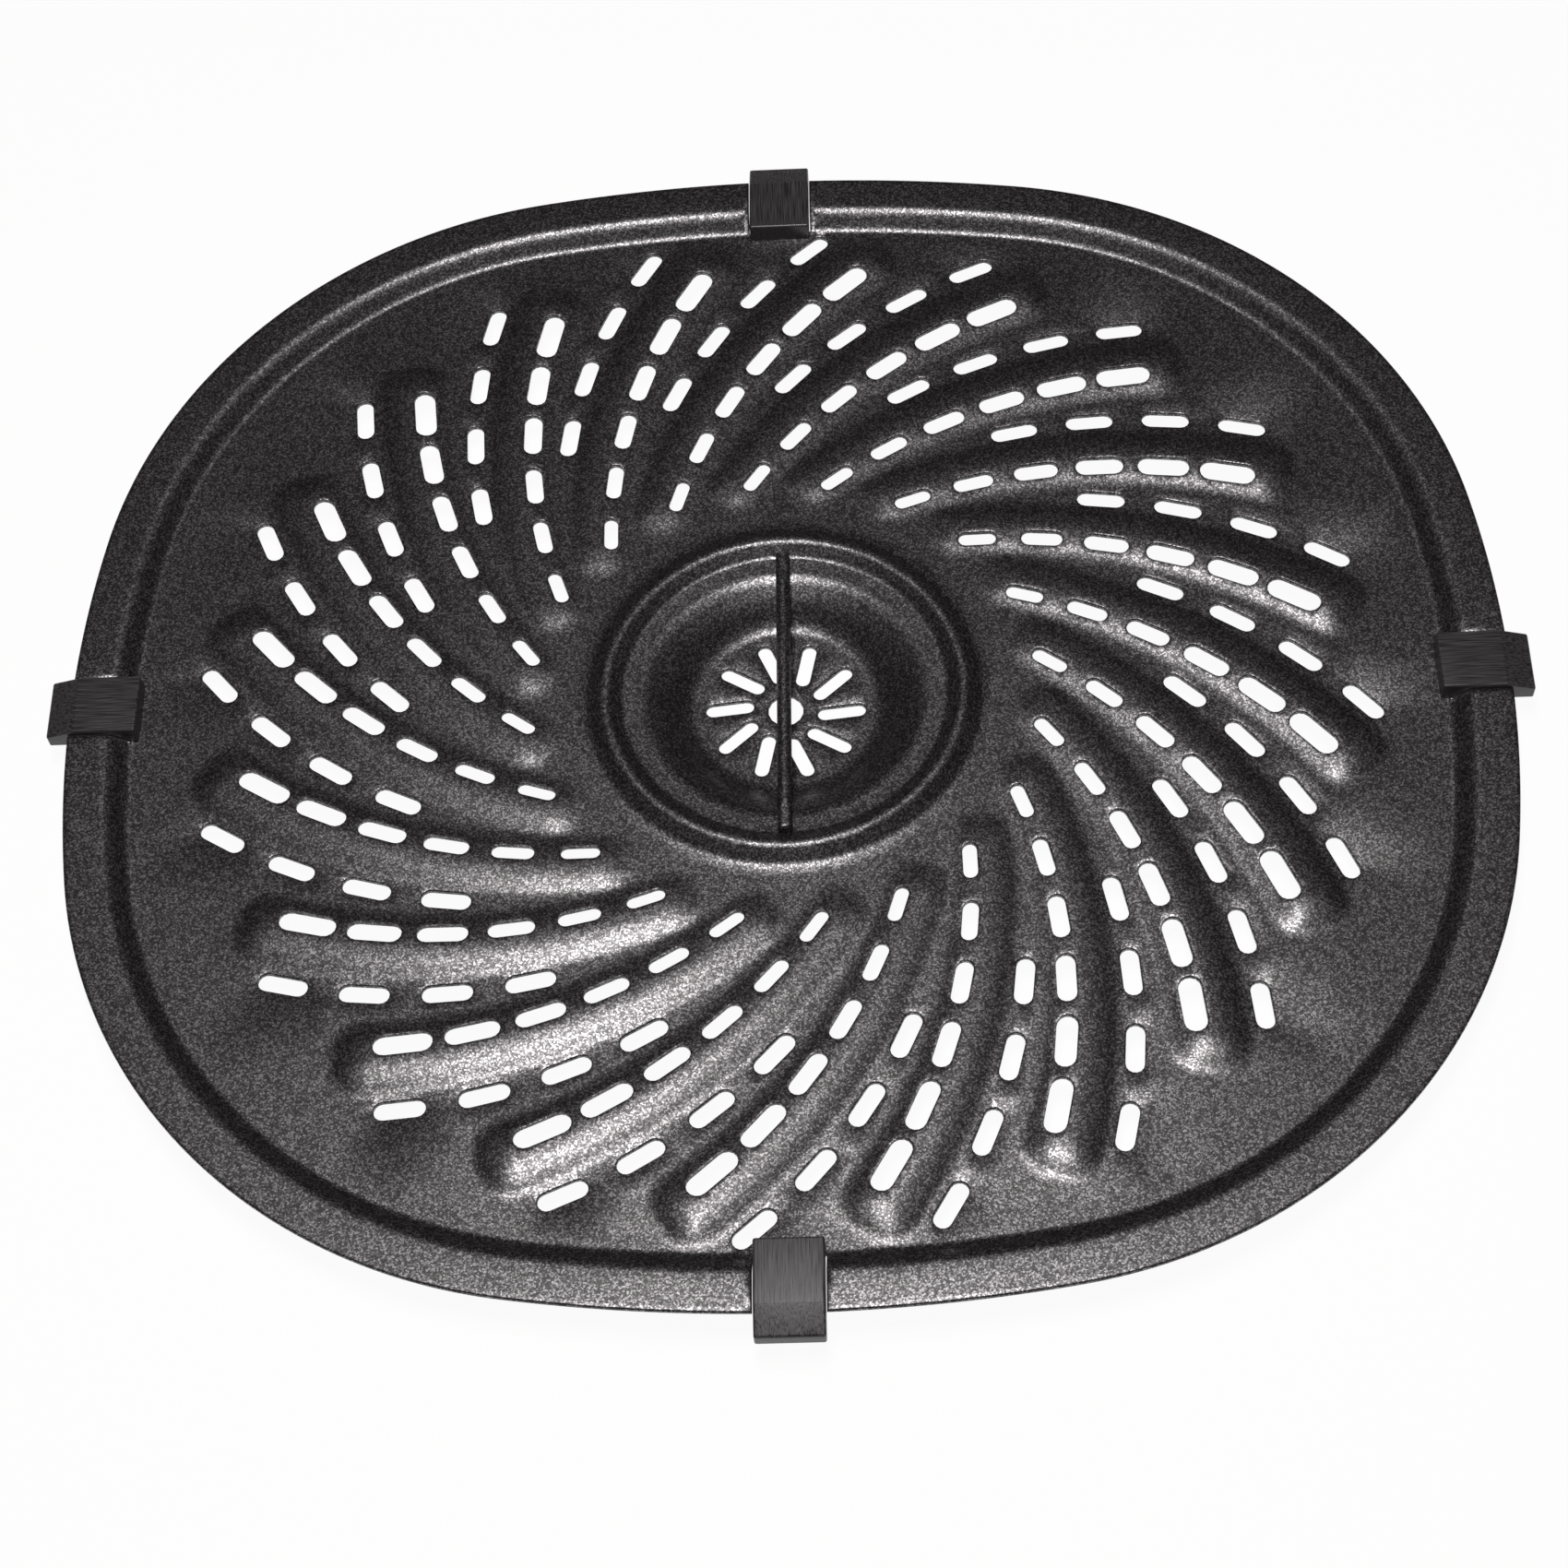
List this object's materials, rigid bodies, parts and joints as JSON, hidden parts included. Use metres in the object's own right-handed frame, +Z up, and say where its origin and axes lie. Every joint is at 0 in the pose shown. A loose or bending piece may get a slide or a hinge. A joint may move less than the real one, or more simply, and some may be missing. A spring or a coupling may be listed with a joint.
{
  "type": "air fryer crisper plate",
  "caption": "Square-round pressed steel crisper plate with a spiral of ribs and drain slots, a lifting dish with a cross bar and silicone rim bumpers.",
  "frame": {"origin": "on the axis of the lifting dish, at the underside of the dish, which is the lowest face and what the plate rests on", "axes": "+Z up out of the dish, +X along the plate's longer width to the right, -Y towards the front"},
  "size_m": [0.2484, 0.2288, 0.0102],
  "materials": {
    "coated_steel": "speckled non-stick coating, satin",
    "coated_bar": "speckled non-stick coating, satin",
    "silicone": "satin black silicone"
  },
  "bodies": {
    "root": {"crisper_plate": "coated_steel", "lifting_bar": "coated_bar", "front_bumper": "silicone", "right_bumper": "silicone", "back_bumper": "silicone", "left_bumper": "silicone"}
  },
  "joints": []
}
